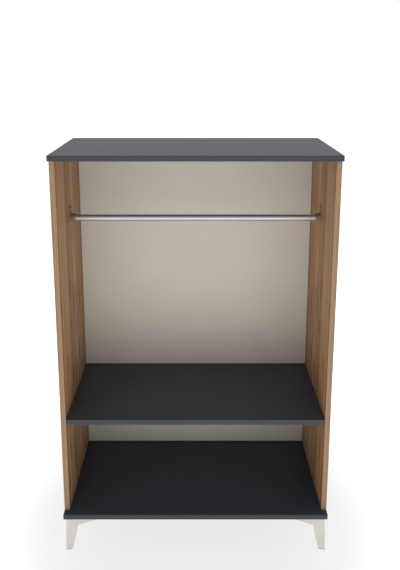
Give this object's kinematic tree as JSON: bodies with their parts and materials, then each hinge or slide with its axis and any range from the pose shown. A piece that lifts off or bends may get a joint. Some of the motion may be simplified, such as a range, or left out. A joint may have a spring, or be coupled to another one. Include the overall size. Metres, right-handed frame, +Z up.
{
  "type": "open wardrobe",
  "caption": "Open-front wardrobe carcass with a loose shelf, a clothes rail that turns in wall sockets, a back wall joined in the middle and splayed angle legs.",
  "frame": {"origin": "on the floor, under the middle of the wardrobe", "axes": "+X to the viewer's right, -Y out of the open front, +Z up"},
  "size_m": [0.9, 0.429, 1.39],
  "materials": {
    "graphite_board": "matt melamine facing",
    "graphite_band": "matt edge band",
    "oak_board": "oak-patterned melamine facing with fine vertical grain",
    "oak_band": "oak-patterned edge band",
    "hardboard": "smooth pale lacquer",
    "strip_plastic": "smooth extruded",
    "steel": "bright zinc",
    "beech": "fluted, raw",
    "oak_plastic": "matt, in the colour of the sides",
    "brown_steel": "browned",
    "nickel": "nickel plate",
    "chrome": "polished chrome plate",
    "cream_plastic": "satin moulded",
    "glide_plastic": "matt"
  },
  "bodies": {
    "carcass": {"top_panel": "graphite_board", "top_edge_band": "graphite_band", "bottom_panel": "graphite_board", "bottom_edge_band": "graphite_band", "left_side_panel": "oak_board", "left_side_edge_band": "oak_band", "right_side_panel": "oak_board", "right_side_edge_band": "oak_band", "left_back_sheet": "hardboard", "right_back_sheet": "hardboard", "back_joint_strip": "strip_plastic", "back_nails": "steel", "cam_locks": "steel", "cam_bolts": "steel", "wood_dowels": "beech", "cam_covers": "oak_plastic", "shelf_supports": "nickel", "left_rail_bracket": "oak_plastic", "right_rail_bracket": "oak_plastic", "bracket_screws": "brown_steel", "front_left_leg": "cream_plastic", "front_right_leg": "cream_plastic", "rear_left_leg": "cream_plastic", "rear_right_leg": "cream_plastic", "leg_screws": "steel", "leg_glides": "glide_plastic"},
    "shelf": {"middle_shelf": "graphite_board", "shelf_edge_band": "graphite_band"},
    "rail": {"clothes_rail": "chrome"}
  },
  "joints": [
    {"name": "shelf_pull", "type": "slide", "parent": "carcass", "child": "shelf", "axis": [0, -1, 0], "range_m": [0, 0.42]},
    {"name": "rail_turn", "type": "hinge", "parent": "carcass", "child": "rail", "pos_m": [0, 0.01055, 1.14], "axis": [1, 0, 0], "continuous": true}
  ]
}
